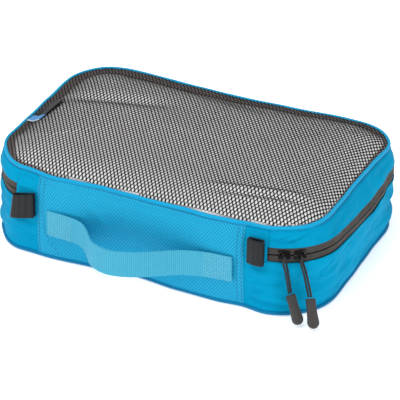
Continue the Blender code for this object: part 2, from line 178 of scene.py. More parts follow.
def corner_axes(angle):
    """The directions out of and along the wall at an angle round the front right corner."""
    turn = math.radians(angle)
    return Vector((math.cos(turn), math.sin(turn), 0)), Vector((-math.sin(turn), math.cos(turn), 0))


def pull_route(number):
    """The doubled cord: up one side of the bail, over it and down the other."""
    out, along = corner_axes(SLIDER_ANGLES[number - 1])
    bar = CORNER + (CORNER_RADIUS + BAIL_REACH) * out + ZIPPER_HEIGHT * Z
    top, tip = Vector(GRIP_TOPS[number - 1]), Vector(GRIP_TIPS[number - 1])
    side = (tip - top).cross(Z).normalized()
    if side.dot(along) < 0:
        side = -side
    loop = BAIL_RADIUS + PULL_CORD_RADIUS + 0.0003
    strand = PULL_CORD_RADIUS + 0.0002
    end = top + 0.0010 * (bar - top).normalized()
    return [
        end - strand * side,
        top.lerp(bar, 0.3) - strand * side + 0.0006 * out,
        top.lerp(bar, 0.65) - strand * side + 0.0010 * out,
        bar + loop * out - strand * along - 0.0025 * Z,
        bar + loop * out - strand * 0.6 * along,
        bar + loop * 0.75 * out + loop * 0.75 * Z - strand * 0.3 * along,
        bar + loop * Z,
        bar - loop * 0.75 * out + loop * 0.75 * Z + strand * 0.3 * along,
        bar - loop * out + strand * 0.6 * along,
        bar - loop * 0.9 * out + strand * along - 0.0025 * Z,
        top.lerp(bar, 0.65) + strand * side + 0.0004 * out,
        top.lerp(bar, 0.3) + strand * side + 0.0006 * out,
        end + strand * side,
    ]


def smooth_line(knots, count):
    """Count points on a smooth line through the knots (Catmull-Rom)."""
    ends = [2 * knots[0] - knots[1], *knots, 2 * knots[-1] - knots[-2]]
    line = []
    for step in range(count):
        along = step / (count - 1) * (len(knots) - 1)
        i = min(int(along), len(knots) - 2)
        t = along - i
        a, b, c, d = ends[i : i + 4]
        square, cube = 2 * a - 5 * b + 4 * c - d, 3 * b - a - 3 * c + d
        line.append(0.5 * (2 * b + (c - a) * t + square * t**2 + cube * t**3))
    return line


def wire(name, points, radius, finish, sides=3):
    """A round cord or wire along a line of points."""
    data = bpy.data.curves.new(name, "CURVE")
    data.dimensions = "3D"
    data.bevel_depth = radius
    data.bevel_resolution = sides
    data.use_fill_caps = True
    spline = data.splines.new("POLY")
    spline.points.add(len(points) - 1)
    for slot, point in zip(spline.points, points):
        slot.co = (*point, 1)
    spline.use_smooth = True
    data.materials.append(finish)
    made = bpy.data.objects.new(name, data)
    bpy.context.scene.collection.objects.link(made)
    return made


# Braided polyester cord: near black, a little shiny, its braid a fine diagonal ripple
braid, tree, shader = new_material("braided_polyester_cord", Roughness=0.45, IOR=1.55, Specular_IOR_Level=0.3)
shader.inputs["Base Color"].default_value = colour("#1d1c1d")
place = node(tree, "TexCoord", out="Object")
strands = {"Vector": place, "Scale": 520.0, "Distortion": 1.5}
weave = node(tree, "TexWave", strands, bands_direction="DIAGONAL")
relief = node(tree, "Bump", {"Strength": 0.35, "Distance": 0.0002, "Height": weave})
tree.links.new(relief, shader.inputs["Normal"])
# Moulded rubber: dark warm grey, matt, with a fine spark-eroded grain
rubber, tree, shader = new_material("moulded_rubber", Roughness=0.62, IOR=1.5)
place = node(tree, "TexCoord", out="Object")
grain = node(tree, "TexNoise", {"Vector": place, "Scale": 2600.0, "Detail": 2.0})
wear = node(tree, "TexNoise", {"Vector": place, "Scale": 190.0, "Detail": 3.0})
paint(tree, shader, wear, "#2b292a", "#3f3c3b", grain, 0.3, 0.0001)

for number in (1, 2):
    top, tip = Vector(GRIP_TOPS[number - 1]), Vector(GRIP_TIPS[number - 1])
    down = (tip - top).normalized()
    side = down.cross(Z).normalized()
    length = (tip - top).length
    wide, round_from = GRIP_HALF_WIDTH, length - GRIP_HALF_WIDTH
    shape = [(0.0034, 0.0003), (0.0036, 0.004), (0.0034, 0.0075), (0.0041, length - 0.0062)]
    shape += [(wide * math.cos(a), round_from + wide * math.sin(a)) for a in np.linspace(0, math.pi / 2, 7)]
    half = shape + [(-w, t) for w, t in reversed(shape[:-1])]
    mesh = bmesh.new()
    face = mesh.faces.new([mesh.verts.new((w, t, -GRIP_THICKNESS / 2)) for w, t in half])
    raised = bmesh.ops.extrude_face_region(mesh, geom=[face])["geom"]
    raised = [v for v in raised if isinstance(v, bmesh.types.BMVert)]
    bmesh.ops.translate(mesh, verts=raised, vec=(0, 0, GRIP_THICKNESS))
    bmesh.ops.recalc_face_normals(mesh, faces=mesh.faces)
    rims = [e for e in mesh.edges if any(len(f.verts) != 4 for f in e.link_faces)]
    bmesh.ops.bevel(mesh, geom=rims, offset=0.0011, segments=3, profile=0.5, affect="EDGES", material=-1)
    turned = Matrix((side, down, side.cross(down))).transposed().to_4x4()
    bmesh.ops.transform(mesh, matrix=Matrix.Translation(top) @ turned, verts=mesh.verts)
    grip = finish_mesh(f"pull_grip_rubber_{number}", mesh, rubber)
    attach(grip, f"pull_{number}")
    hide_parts(f"pull_grip_{number}")
    route = smooth_line(pull_route(number), 73)
    cord = wire(f"pull_cord_braided_{number}", route, PULL_CORD_RADIUS, braid)
    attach(cord, f"pull_{number}")
    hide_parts(f"pull_cord_{number}")


# --- Lower band ---
# The lower wall is one strip of plain nylon taffeta from the front panel's right seam round the
# back to its left seam. It is folded over at the zipper, and puckers where the seams draw it in.

RIM_HEIGHT, RIM_DRAW_IN, BASE_DRAW_IN = 0.0695, 0.0055, 0.003
SAG_FROM = 0.057
SEAM_LINE = 0.0673  # the rim's stitching draws the cloth in here
ZIPPER_OPENING = 0.011
BAND_TOP = ZIPPER_HEIGHT - ZIPPER_OPENING / 2
SEAM, LEFT_SEAM = 0.086, 0.082  # the front panel's right and left edges, from the middle
SIDES = (HALF_LENGTH - CORNER_RADIUS, HALF_WIDTH - CORNER_RADIUS)
TURN = math.pi / 2 * CORNER_RADIUS
ROUND = 4 * sum(SIDES) + 4 * TURN  # once round the case
# How far the stuffed wall stands proud of its plain shape at the rim, the zipper and the base, at
# places round the case from the middle of the front
RIM_SWELL = (
    (-0.096, -0.0015), (-0.072, 0.0012), (-0.052, 0.0), (-0.032, -0.0015), (-0.010, 0.0), (0.011, 0.0010),
    (0.033, 0.0018), (0.054, 0.0030), (0.073, 0.0020), (0.092, 0.0), (0.130, -0.0008), (0.180, -0.0016),
    (0.218, -0.0036), (0.255, -0.0040), (0.300, -0.0015), (0.356, 0.0), (0.396, -0.0025), (0.436, -0.0045),
    (0.480, -0.003), (0.526, 0.0), (0.570, 0.0026), (0.606, 0.0022), (0.640, -0.0005), (0.674, -0.0032),
    (0.700, -0.0048), (0.735, -0.0058),
)
MIDDLE_SWELL = (
    (-0.096, -0.0018), (-0.070, 0.0), (0.100, 0.0), (0.140, 0.0003), (0.165, 0.0008), (0.200, 0.0022),
    (0.222, 0.0026), (0.248, 0.0006), (0.270, -0.0030), (0.320, -0.0022), (0.400, -0.0010), (0.560, -0.0010),
    (0.655, -0.0055), (0.700, -0.0082), (0.738, -0.0085),
)
BASE_SWELL = (
    (-0.096, 0.0012), (-0.072, 0.0022), (-0.030, -0.0005), (-0.002, -0.003), (0.034, 0.0005), (0.065, 0.0012),
    (0.084, -0.0008), (0.106, 0.0018), (0.140, 0.0010), (0.165, 0.0006), (0.200, -0.0006), (0.225, -0.0020),
    (0.250, -0.0034), (0.270, -0.0034), (0.300, -0.0025), (0.340, -0.0005), (0.436, -0.002), (0.550, 0.0),
    (0.655, -0.0055), (0.700, -0.0070), (0.735, -0.0058),
)
# How far the rim sags below its plain height
RIM_SAG = (
    (-0.096, 0.0026), (-0.070, 0.0036), (-0.030, 0.0036), (0.0, 0.0029), (0.050, 0.0020), (0.095, 0.0018),
    (0.130, 0.0014), (0.175, 0.0), (0.690, 0.0), (0.735, 0.0010),
)


def outline(s):
    """The point and outward normal of the fullest outline, s metres anticlockwise from the front's middle."""
    x, y = SIDES
    run = s % ROUND
    for length, point, direction, normal in (
        (x, (0, -HALF_WIDTH), (1, 0), (0, -1)), (TURN, (x, -y), None, -90),
        (2 * y, (HALF_LENGTH, -y), (0, 1), (1, 0)), (TURN, (x, y), None, 0),
        (2 * x, (x, HALF_WIDTH), (-1, 0), (0, 1)), (TURN, (-x, y), None, 90),
        (2 * y, (-HALF_LENGTH, y), (0, -1), (-1, 0)), (TURN, (-x, -y), None, 180),
        (x, (-x, -HALF_WIDTH), (1, 0), (0, -1)),
    ):
        if run <= length:
            break
        run -= length
    if direction is None:
        turn = math.radians(normal) + run / CORNER_RADIUS
        normal = Vector((math.cos(turn), math.sin(turn)))
        return Vector(point) + CORNER_RADIUS * normal, normal
    return Vector(point) + min(run, length) * Vector(direction), Vector(normal)


def swell(table, s):
    """The offset that a swell table gives at s, smoothly between its places."""
    first = table[0][0]
    s = (s - first) % ROUND + first
    places = [*table, (first + ROUND, table[0][1])]
    i = max(k for k in range(len(table)) if places[k][0] <= s)
    (a, low), (b, high) = places[i], places[i + 1]
    t = (s - a) / (b - a)
    return low + (high - low) * t * t * (3 - 2 * t)


def bell(distance, width):
    """A smooth hump: 1 at no distance, near 0 past twice the width."""
    return math.exp(-((distance / width) ** 2))


def clamp(share):
    """A share kept between 0 and 1."""
    return min(max(share, 0.0), 1.0)


def from_front(s):
    """How far a place round the case is from the front's middle, either way."""
    return abs((s + ROUND / 2) % ROUND - ROUND / 2)


def pucker(s, z):
    """How far the cloth ripples in and out at a place on the wall."""
    near_seams = bell(from_front(s) - SEAM - 0.014, 0.026)
    near_corner = bell(s % ROUND - 0.135, 0.045)
    turn = 2 * math.pi * s / ROUND
    u, v = math.cos(turn) * ROUND / math.tau, math.sin(turn) * ROUND / math.tau
    fine = noise.noise(Vector((u * 30, v * 30, z * 170 + 3.1)))
    folds = noise.noise(Vector((u * 19, v * 19, z * 62 + 8.4)))
    slant = noise.noise(Vector((u * 34 + z * 40, v * 34 - z * 40, z * 70 + 5.7)))
    creases = max(0.0, 1 - abs(slant) * 7) ** 2
    size = 0.0013 + 0.0012 * near_seams + 0.0008 * near_corner
    return size * fine + 0.0026 * folds - (0.0007 + 0.0008 * near_corner) * creases


def belly(s, z):
    """The stuffed bulges: one between rim and zipper, two below it with a slack crease between them."""
    varied = 0.75 + 0.5 * noise.noise(Vector((s * 31, 6.2, 1.1)))
    fullness = clamp((from_front(s) - 0.100) / 0.05) * varied
    if z > ZIPPER_HEIGHT:
        share = min(1.0, (z - ZIPPER_HEIGHT) / (RIM_HEIGHT - ZIPPER_HEIGHT))
        return 0.0012 * fullness * math.sin(math.pi * share)
    crease = 0.022 + 0.004 * noise.noise(Vector((s * 23, 1.9, 7.3)))
    return fullness * (0.0010 * math.sin(math.pi * z / ZIPPER_HEIGHT) - 0.0018 * bell(z - crease, 0.0055))


def wall(s, z, out=0.0, rippled=1.0):
    """A point on the case's wall at height z, standing out from it by out."""
    point, normal = outline(s)
    middle = swell(MIDDLE_SWELL, s)
    if z < ZIPPER_HEIGHT:
        share = (ZIPPER_HEIGHT - z) / ZIPPER_HEIGHT
        inset = BASE_DRAW_IN * share**2 - swell(BASE_SWELL, s) * share - middle * (1 - share)
    else:
        share = (z - ZIPPER_HEIGHT) / (RIM_HEIGHT - ZIPPER_HEIGHT)
        inset = RIM_DRAW_IN * share**1.5 - swell(RIM_SWELL, s) * share - middle * (1 - share)
    from_seam = abs(s % ROUND - SEAM) if s % ROUND < ROUND / 2 else abs(ROUND - s % ROUND - LEFT_SEAM)
    held = min(1.0, abs(z - 0.001) / 0.008, abs(z - RIM_HEIGHT) / 0.008, from_seam / 0.008)
    held = min(held, (abs(z - ZIPPER_HEIGHT) - 0.0045) / 0.006)
    ripple = pucker(s, z) * max(held, 0.0) * rippled if rippled else 0.0
    seam = -0.0010 * bell(z - SEAM_LINE, 0.0008)
    spot = point + normal * (out + ripple + seam + belly(s, z) - inset)
    sag = swell(RIM_SAG, s) * clamp((z - SAG_FROM) / (RIM_HEIGHT - SAG_FROM))
    return Vector((spot.x, spot.y, z - sag))


def thicken(piece, thickness, offset=-1, soft=False):
    """Gives a sheet its thickness, and softens its edges where they show."""
    shell = piece.modifiers.new("thickness", "SOLIDIFY")
    shell.thickness, shell.offset = thickness, offset
    if soft:
        edge = piece.modifiers.new("soft_edge", "BEVEL")
        edge.width, edge.segments, edge.limit_method = 0.0004, 2, "ANGLE"


def lay(name, place, s_range, t_range, columns, rows, *materials, thickness=0.0):
    """A grid bent to place(s, t). Its UV map holds s and t, and edges that meet are welded."""
    mesh = bmesh.new()
    uv = mesh.loops.layers.uv.new("lay")
    bmesh.ops.create_grid(mesh, x_segments=columns, y_segments=rows, size=0.5)
    spread = {}
    for vertex in mesh.verts:
        s = s_range[0] + (vertex.co.x + 0.5) * (s_range[1] - s_range[0])
        t = t_range[0] + (vertex.co.y + 0.5) * (t_range[1] - t_range[0])
        spread[vertex] = (s, t)
    for face in mesh.faces:
        for loop in face.loops:
            loop[uv].uv = spread[loop.vert]
    for vertex, (s, t) in spread.items():
        vertex.co = place(s, t)
    bmesh.ops.remove_doubles(mesh, verts=mesh.verts, dist=0.000002)
    made = finish_mesh(name, mesh, *materials)
    if thickness:
        thicken(made, thickness)
    return made


def waves(tree, distance, pitch):
    """A wave from -1 to 1 along a distance, with its crests one pitch apart."""
    turns = node(tree, "Math", {0: distance, 1: 2 * math.pi / pitch}, operation="MULTIPLY")
    return node(tree, "Math", {0: turns}, operation="SINE")


def taffeta_material():
    """Nylon taffeta: two sets of threads, creases drawn out along the strip, and soft patches of dye."""
    made, tree, shader = new_material("nylon_taffeta", Roughness=0.68, IOR=1.3, Specular_IOR_Level=0.08)
    where = node(tree, "UVMap", uv_map="lay")
    split = node(tree, "SeparateXYZ", {0: where}).node
    crossing = {axis: waves(tree, split.outputs[axis], THREAD_PITCH) for axis in (0, 1)}
    threads = node(tree, "Math", crossing, operation="MULTIPLY")
    place = node(tree, "TexCoord", out="Object")
    dye = node(tree, "TexNoise", {"Vector": place, "Scale": 22.0, "Detail": 3.0})
    shade = node(tree, "MapRange", {"Value": dye, "From Min": 0.3, "From Max": 0.7})
    paint(tree, shader, shade, "#008cb8", "#009cc8")
    drawn = node(tree, "VectorMath", {0: where, 1: (38.0, 150.0, 1.0)}, operation="MULTIPLY")
    creases = node(tree, "TexNoise", {"Vector": drawn, "Scale": 1.0, "Detail": 3.0, "Roughness": 0.6})
    creased = node(tree, "Bump", {"Strength": 0.75, "Distance": 0.0024, "Height": creases})
    woven = {"Strength": 0.12, "Distance": 0.0002, "Height": threads, "Normal": creased}
    tree.links.new(node(tree, "Bump", woven), shader.inputs["Normal"])
    return made


THREAD_PITCH = 0.001  # real taffeta's threads are finer, and are drawn wide enough to show
TAFFETA = 0.0007
taffeta = taffeta_material()
band = lay(
    "lower_band", wall, (SEAM - 0.002, ROUND - LEFT_SEAM + 0.002), (0.002, BAND_TOP),
    380, 34, taffeta, thickness=TAFFETA,
)
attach(band, "case")
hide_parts("side_band_lower")


# --- Upper band ---
# The upper wall is the same taffeta, folded over along the zipper and sewn into the rim. Its two
# ends run on behind the tabs.

UPPER_FOOT = ZIPPER_HEIGHT + ZIPPER_OPENING / 2
WALL_TOP = RIM_HEIGHT - 0.0012
ZIPPER_END, LEFT_END = 0.104, 0.101  # where the zipper stops on the right and the left

band = lay(
    "upper_band", wall, (ZIPPER_END, ROUND - LEFT_END), (UPPER_FOOT, WALL_TOP),
    380, 24, taffeta, thickness=TAFFETA,
)
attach(band, "lid")
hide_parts("side_band_upper")
for side, name in ((-1, "left"), (1, "right")):
    ends = sorted((SEAM - 0.002, ZIPPER_END) if side > 0 else (0.002 - LEFT_SEAM, -LEFT_END))
    patch = lay(
        f"band_end_{name}_cloth", wall, ends, (BAND_TOP, WALL_TOP), 12, 32, taffeta, thickness=TAFFETA
    )
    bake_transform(patch)
    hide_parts(f"band_end_{name}")


# --- Front panel ---
# The panel behind the handle is a heavier ripstop nylon with a raised diamond grid, laid over the
# band's ends and held by two rows of stitching. It runs unbroken to the rim, and is the lid's hinge.

DIAMOND = 0.0024  # across the grid's cells
PANEL_PROUD = 0.0005


def panel_ripple(x, z):
    """The panel's own soft folds, from the handle's pull and the curve of its top edge."""
    sag = noise.noise(Vector((x * 22 + z * 20, z * 34, 1.3)))
    crease = bell((x + 0.030) + (z - 0.045) * 1.2, 0.006) * bell(z - 0.050, 0.014)
    return 0.0013 * sag + 0.0010 * crease


def panel(x, z, out=PANEL_PROUD):
    """A point on the front panel."""
    held = min(1.0, (SEAM - x) / 0.010, (LEFT_SEAM + x) / 0.010, (RIM_HEIGHT - z) / 0.008, z / 0.008)
    return wall(x, z, out + panel_ripple(x, z) * max(held, 0.0), 0.35)


def ripstop_material():
    """Ripstop nylon: raised threads crossing at a slant over a darker plain weave; the grid is the cloth's
    own pattern, and its pale colour is painted highlight on the raised threads.
    """
    made, tree, shader = new_material("ripstop_nylon_cloth", Roughness=0.55, IOR=1.53, Specular_IOR_Level=0.1)
    split = node(tree, "SeparateXYZ", {0: node(tree, "UVMap", uv_map="lay")}).node
    steep = node(tree, "Math", {0: split.outputs[1], 1: 0.75}, operation="MULTIPLY")
    ridges = []
    for way in ("ADD", "SUBTRACT"):
        slanted = node(tree, "Math", {0: split.outputs[0], 1: steep}, operation=way)
        turns = node(tree, "Math", {0: slanted, 1: math.pi / DIAMOND}, operation="MULTIPLY")
        wave = node(tree, "Math", {0: turns}, operation="COSINE")
        both_ways = node(tree, "Math", {0: wave}, operation="ABSOLUTE")
        ridges.append(node(tree, "Math", {0: both_ways, 1: 5.0}, operation="POWER"))
    grid = node(tree, "Math", {0: ridges[0], 1: ridges[1]}, operation="MAXIMUM")
    place = node(tree, "TexCoord", out="Object")
    dye = node(tree, "TexNoise", {"Vector": place, "Scale": 24.0, "Detail": 3.0})
    ground = node(tree, "Mix", {0: dye, 6: colour("#007caa"), 7: colour("#0090be")}, data_type="RGBA", out=2)
    # the pale colour of the grid is painted highlight on the raised threads
    share = node(tree, "Math", {0: grid, 1: 0.85}, operation="MULTIPLY")
    tint = node(tree, "Mix", {0: share, 6: ground, 7: colour("#2bb6de")}, data_type="RGBA", out=2)
    tree.links.new(tint, shader.inputs["Base Color"])
    relief = node(tree, "Bump", {"Strength": 0.5, "Distance": 0.0003, "Height": grid})
    tree.links.new(relief, shader.inputs["Normal"])
    return made


def sew(name, spots, finish, length=0.0022, width=0.00045, height=0.0004):
    """A row of stitches. A spot is the stitch's middle, its direction and the cloth's outward normal."""
    mesh = bmesh.new()
    for middle, along, normal in spots:
        along = along.normalized()
        across = normal.cross(along).normalized()
        turned = Matrix((along * length, across * width, along.cross(across) * height)).transposed().to_4x4()
        bmesh.ops.create_cube(mesh, size=1.0, matrix=Matrix.Translation(middle) @ turned)
    bmesh.ops.bevel(
        mesh, geom=mesh.edges, offset=width * 0.3, segments=1, profile=0.5, affect="EDGES", material=-1
    )
    return finish_mesh(name, mesh, finish)


def on_wall(place, s, z, ds, dz, lift=0.0001):
    """A stitch's spot at (s, z) on a wall, lying along (ds, dz)."""
    here = place(s, z)
    along = place(s + ds * 0.001, z + dz * 0.001) - here
    across = place(s - dz * 0.001, z + ds * 0.001) - here
    normal = along.cross(across).normalized()
    return here + normal * lift, along, normal


ripstop = ripstop_material()
# Sewing thread: bonded polyester, coloured a shade darker than the cloth as painted shade where it sinks into
# the cloth
thread, tree, shader = new_material("bonded_polyester_thread", Roughness=0.6, IOR=1.55)
place = node(tree, "TexCoord", out="Object")
twist = node(tree, "TexWave", {"Vector": place, "Scale": 420.0}, bands_direction="DIAGONAL")
paint(tree, shader, twist, "#006898", "#007fae")

front = lay("front_panel", panel, (-LEFT_SEAM, SEAM), (0.002, WALL_TOP), 150, 84, ripstop, thickness=0.0012)
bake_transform(front)
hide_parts("front_panel_lower", "front_panel_upper")

STITCH_PITCH = 0.0031
rows = []
for inset in (0.0016, 0.0052):
    z = 0.006
    while z < WALL_TOP - 0.002:
        rows.append(on_wall(panel, SEAM - inset, z, 0, 1))
        # the left end's rows turn in towards the base on a wide curve
        turn = bell(z - 0.004, 0.011) * 0.012 if inset > 0.003 else 0.0
        rows.append(on_wall(panel, -LEFT_SEAM + inset + turn, z, -turn * 30 if z < 0.02 else 0, 1))
        z += STITCH_PITCH
seams = sew("front_panel_stitching", rows, thread)
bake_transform(seams)


# --- Base ---
# The bottom is a flat sheet of the same taffeta, joined to the wall by a narrow darker welt. Inside,
# a strip of binding tape covers the raw edges of that seam.

def ring(name, middle, radius, stretch, finish, sides=12, columns=420):
    """A rounded edging that follows middle(s) round the case; stretch scales its height."""

    def place(s, turn):
        out = outline(s)[1].to_3d()
        return middle(s) + radius * (math.cos(turn) * out + stretch * math.sin(turn) * Z)

    return lay(name, place, (0, ROUND), (0, 2 * math.pi), columns, sides, finish)


def edging_material(name, dark, light, rib):
    """Narrow woven tape rolled round a cord, with fine ribs across it."""
    made, tree, shader = new_material(name, Roughness=0.5, IOR=1.53, Specular_IOR_Level=0.12)
    split = node(tree, "SeparateXYZ", {0: node(tree, "UVMap", uv_map="lay")}).node
    place = node(tree, "TexCoord", out="Object")
    dye = node(tree, "TexNoise", {"Vector": place, "Scale": 30.0, "Detail": 3.0})
    paint(tree, shader, dye, dark, light, waves(tree, split.outputs[0], rib), 0.25)
    return made


welt_tape = edging_material("taffeta_welt", "#00709e", "#007eac", 0.0016)
welt = ring("base_welt", lambda s: wall(s, 0.0016, 0.0002), 0.0014, 1.0, welt_tape)
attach(welt, "case")
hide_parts("base_piping")

BASE_POINTS = 160
mesh = bmesh.new()
bmesh.ops.create_circle(mesh, cap_ends=True, segments=BASE_POINTS, radius=1.0)
for count, vertex in enumerate(mesh.verts):
    edge = wall(ROUND * count / BASE_POINTS, 0.0016, -0.0012)
    vertex.co = (edge.x, edge.y, 0.0007)
bmesh.ops.inset_region(mesh, faces=mesh.faces, thickness=0.004, depth=0.0)
bmesh.ops.recalc_face_normals(mesh, faces=mesh.faces)
sheet_uv = mesh.loops.layers.uv.new("lay")
for face in mesh.faces:
    for loop in face.loops:
        loop[sheet_uv].uv = loop.vert.co.xy
bottom = finish_mesh("base_cloth", mesh, taffeta)
thicken(bottom, 0.0009, 0)
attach(bottom, "case")
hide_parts("base_panel")

binding = edging_material("grosgrain_binding", "#086c97", "#0a7aa6", 0.0012)
tape = lay(
    "base_binding", lambda s, z: wall(s, z, -0.0016), (0, ROUND), (0.0030, 0.0110),
    380, 5, binding, thickness=0.0006,
)
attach(tape, "case")
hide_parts("base_seam_binding")


# --- Zipper ---
# A reverse coil zipper: the coils are on the inside, and from outside two dark tapes meet in a
# narrow groove. The lower tape is sewn to the lower band and the upper one to the lid.

TAPE_INSET, TAPE_WIDTH = 0.0008, 0.0080
GROOVE = 0.00025  # from the zipper's middle to each tape
COIL_TURNS, COIL_STEPS = 460, 6


def zipper_material():
    """Woven polyester tape: dark brown grey, with fine ribs along it and lighter patches of lint."""
    made, tree, shader = new_material("woven_polyester_tape", Roughness=0.6, IOR=1.55, Specular_IOR_Level=0.3)
    split = node(tree, "SeparateXYZ", {0: node(tree, "UVMap", uv_map="lay")}).node
    along, across = waves(tree, split.outputs[1], 0.0012), waves(tree, split.outputs[0], 0.0010)
    ribs = node(tree, "Math", {0: along, 1: across}, operation="MULTIPLY")
    place = node(tree, "TexCoord", out="Object")
    lint = node(tree, "TexNoise", {"Vector": place, "Scale": 260.0, "Detail": 3.0})
    paint(tree, shader, lint, "#2b2826", "#4b4642", ribs)
    return made


def tape_place(side):
    """The tape of one side: flat where it is sewn, then a ridge that rolls in at the groove."""

    def place(s, t):
        z = ZIPPER_HEIGHT + side * t
        ridge = 0.0006 * bell(t - 0.0014, 0.0011)
        rolled = -0.0009 * max(0.0, 1 - t / 0.0008) ** 2
        tucked = -0.0022 * clamp((t - 0.0054) / 0.0020)  # behind the bands' folded edges
        return wall(s, z, ridge + rolled + tucked - TAPE_INSET, 0.0)

    return place


tape_cloth = zipper_material()
# Coil: moulded nylon monofilament, smooth and dark
filament, tree, shader = new_material("nylon_coil", Roughness=0.35, IOR=1.53)
lint = node(tree, "TexNoise", {"Vector": node(tree, "TexCoord", out="Object"), "Scale": 400.0})
paint(tree, shader, lint, "#201f1f", "#353231")
span = (ZIPPER_END, ROUND - LEFT_END)
for side, half, body in ((-1, "lower", "case"), (1, "upper", "lid")):
    widths = (GROOVE, TAPE_WIDTH)[::side]  # reversed below, so that both tapes face outwards
    tape = lay(
        f"zipper_tape_{half}_cloth", tape_place(side), span, widths, 320, 18, tape_cloth, thickness=0.0006
    )
    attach(tape, body)
    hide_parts(f"zipper_tape_{half}")
    points = []
    for step in range(COIL_TURNS * COIL_STEPS):
        s = span[0] + (span[1] - span[0]) * step / (COIL_TURNS * COIL_STEPS - 1)
        angle = 2 * math.pi * step / COIL_STEPS
        z = ZIPPER_HEIGHT + side * (0.0012 + 0.0009 * math.cos(angle))
        points.append(wall(s, z, -0.0034 + 0.0006 * math.sin(angle), 0.0))
    coil = wire(f"zipper_coil_{half}_filament", points, 0.00028, filament, sides=0)
    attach(coil, body)
    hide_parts(f"zipper_coil_{half}")


# --- Tabs ---
# A short piece of black webbing, folded in two, is sewn over each end of the zipper. Its fold points
# away from the front panel and gives the fingers something to hold while the slider moves.

TAB_PROUD, WEBBING, TAB_WIDTH = 0.0042, 0.0014, 0.0195
# Each tab's side, the place of its sewn end, its length to the fold and its middle's height
TABS = (("left", -1, 0.0834, 0.0182, 0.0428), ("right", 1, 0.0903, 0.0122, 0.0515))


def webbing_material(name, dark, light, rib, roughness, bump):
    """Woven webbing with ribs across its width and a finer weave between them, coloured by their relief as
    painted shade in the hollows and painted highlight on the crests, with random lint over it.
    """
    made, tree, shader = new_material(name, Roughness=roughness, IOR=1.53, Specular_IOR_Level=0.2)
    split = node(tree, "SeparateXYZ", {0: node(tree, "UVMap", uv_map="lay")}).node
    ribs, cross = waves(tree, split.outputs[0], rib), waves(tree, split.outputs[1], 0.0013)
    weave = node(tree, "Math", {0: cross, 1: 0.35}, operation="MULTIPLY")
    relief = node(tree, "Math", {0: ribs, 1: weave}, operation="ADD")
    place = node(tree, "TexCoord", out="Object")
    lint = node(tree, "TexNoise", {"Vector": place, "Scale": 300.0, "Detail": 2.0})
    fluff = node(tree, "Math", {0: lint, 1: 0.25}, operation="MULTIPLY")
    # painted shade and highlight: the colour runs dark in the weave's hollows and light on its crests
    shade = node(tree, "MapRange", {"Value": relief, "From Min": -1.35, "From Max": 1.35, "To Max": 0.75})
    share = node(tree, "Math", {0: shade, 1: fluff}, operation="ADD")
    paint(tree, shader, share, dark, light, relief, bump, 0.0003)
    return made


def tab_place(side, root_x, length, centre):
    """A point on the folded tab: t is the share of the way from its inner end to its outer, z the height."""
    turn, inner_y = TAB_PROUD / 2 - WEBBING / 4, -HALF_WIDTH - 0.0010
    fold_x = root_x + length - turn
    path = [Vector((root_x, inner_y)), Vector((fold_x, inner_y))]
    for angle in np.linspace(0, math.pi, 9)[1:]:
        path.append(Vector((fold_x + turn * math.sin(angle), inner_y - turn * (1 - math.cos(angle)))))
    path.append(Vector((fold_x - 0.005, inner_y - 2 * turn - 0.0003)))
    path.append(Vector((root_x, inner_y - WEBBING - 0.0009)))
    line = smooth_line(path, 61)

    def place(t, z):
        along = clamp(t) * 60
        i = min(int(along), 59)
        spot = line[i].lerp(line[i + 1], along - i)
        across = (z - centre) / (TAB_WIDTH / 2)
        share = (spot.x - root_x) / length if side < 0 else 0.0  # only the left tab hangs askew
        return Vector((side * (spot.x - 0.0014 * across * share), spot.y, z - 0.0038 * share))

    return place


tab_cloth = webbing_material("black_polypropylene_webbing", "#111315", "#242628", 0.0016, 0.4, 0.2)
for name, side, root_x, length, centre in TABS:
    heights = (centre - TAB_WIDTH / 2, centre + TAB_WIDTH / 2)
    folded = tab_place(side, root_x, length, centre)
    tab = lay(f"zipper_tab_{name}", folded, (0, 1), heights, 46, 10, tab_cloth)
    for corner in tab.data.uv_layers["lay"].data:
        corner.uv.x *= 2 * length
    thicken(tab, WEBBING, 0, soft=True)
    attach(tab, "case")
    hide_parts(f"tab_{name}")


# --- Handle ---
# One length of pale blue 20 mm webbing stands out from the front in a slack arch. Each end is sewn
# flat to the panel with closely set zigzag stitching.

HANDLE_TOP_LEFT, HANDLE_TOP_RIGHT = 0.0412, 0.0415
HANDLE_WIDTH = 0.0205
HANDLE_ENDS = (-0.073, 0.078)
SEWN = 0.021  # the length of each sewn end
STITCH_ROWS, STITCH_STEPS = 13, 12
# The strap's distance from its sewn ends' plane, at places along the front
HANDLE_ARCH = (
    (-0.073, 0.0), (-0.060, 0.0008), (-0.048, 0.0026), (-0.040, 0.0062), (-0.0335, 0.0122), (-0.028, 0.019),
    (-0.022, 0.0255), (-0.013, 0.0300), (-0.003, 0.031), (0.008, 0.028), (0.020, 0.0215), (0.030, 0.0145),
    (0.040, 0.008), (0.050, 0.004), (0.060, 0.0015), (0.068, 0.0006), (0.078, 0.0),
)
arch = smooth_line([Vector((x, -HALF_WIDTH - 0.0016 - out)) for x, out in HANDLE_ARCH], 193)
arch_runs = [0.0]
for before, after in zip(arch, arch[1:]):
    arch_runs.append(arch_runs[-1] + (after - before).length)
STRAP_LENGTH = arch_runs[-1]


def strap(run, height):
    """A point on the strap: run along the webbing from its left end, height from -1 at its foot to 1."""
    late = 0.0050 * (1 - height) / 2 * bell(run - 0.044, 0.020)  # the foot leaves the panel further on
    x = float(np.interp(run - late, arch_runs, [p.x for p in arch]))
    y = float(np.interp(run - late, arch_runs, [p.y for p in arch]))
    share = (x - HANDLE_ENDS[0]) / (HANDLE_ENDS[1] - HANDLE_ENDS[0])
    top = HANDLE_TOP_LEFT + (HANDLE_TOP_RIGHT - HANDLE_TOP_LEFT) * share
    z = top - HANDLE_WIDTH / 2 + height * HANDLE_WIDTH / 2
    out = -HALF_WIDTH - y
    sewn_lean = wall(x, z, 0.0, 0.0).y - wall(x, 0.045, 0.0, 0.0).y
    free = clamp((out - 0.002) / 0.008)
    return Vector((x, y + sewn_lean * (1 - free), z))


